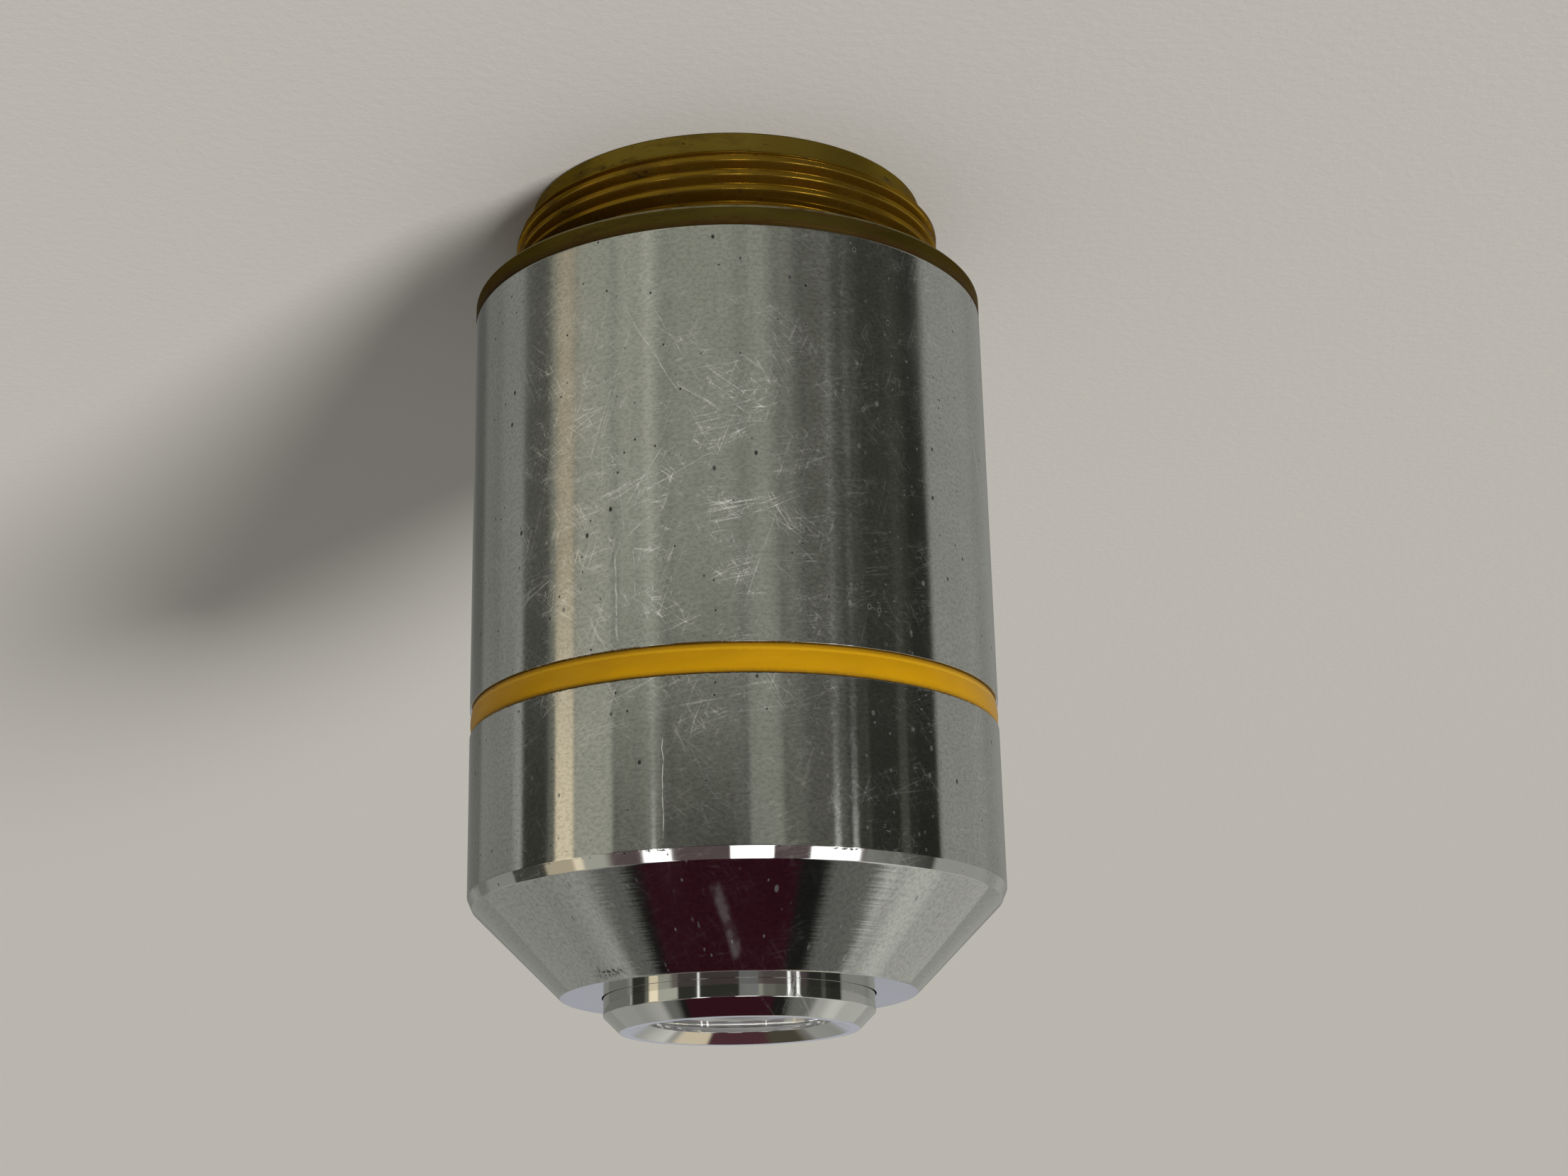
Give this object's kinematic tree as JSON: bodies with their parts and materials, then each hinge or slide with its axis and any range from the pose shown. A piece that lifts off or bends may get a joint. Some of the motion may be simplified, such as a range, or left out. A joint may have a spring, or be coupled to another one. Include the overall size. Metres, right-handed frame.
{
  "type": "microscope objective",
  "caption": "Screw-in microscope objective: brass thread and shoulder, satin chromed barrel with a yellow colour band, bevelled cone and short nose, and a lens train in an inner tube.",
  "frame": {"origin": "centre of the rear face of the thread end, where the objective stands when its nose points up", "axes": "+Z along the optical axis towards the nose; X and Y are equal, because every piece is turned about Z"},
  "size_m": [0.024, 0.024, 0.039],
  "materials": {
    "mount_brass": "turned brass, tarnished to a dull olive gold",
    "satin_chrome": "satin chrome over brass, finely turned and scratched",
    "nose_chrome": "bright chrome",
    "yellow_enamel": "glossy enamel",
    "tube_brass": "plain turned brass",
    "black_brass": "brass blackened matt against stray light",
    "screw_steel": "plain steel",
    "front_glass": "polished and coated",
    "crown_glass": "polished",
    "flint_glass": "polished"
  },
  "bodies": {
    "root": {"mount_body": "mount_brass", "outer_sleeve": "satin_chrome", "colour_band": "yellow_enamel", "lens_tube": "tube_brass", "parfocal_shim": "tube_brass", "parfocal_lock_ring": "tube_brass", "centring_screws": "screw_steel", "front_cell": "nose_chrome", "front_lens": "front_glass", "second_cell": "black_brass", "second_crown": "crown_glass", "second_flint": "flint_glass", "second_retaining_ring": "black_brass", "third_cell": "black_brass", "third_crown": "crown_glass", "third_flint": "flint_glass", "third_retaining_ring": "black_brass", "rear_cell": "black_brass", "rear_crown": "crown_glass", "rear_flint": "flint_glass", "rear_retaining_ring": "black_brass", "front_retaining_ring": "black_brass", "front_spacer": "black_brass", "middle_spacer": "black_brass", "aperture_stop": "black_brass", "rear_spacer": "black_brass", "train_retaining_ring": "black_brass"}
  },
  "joints": []
}
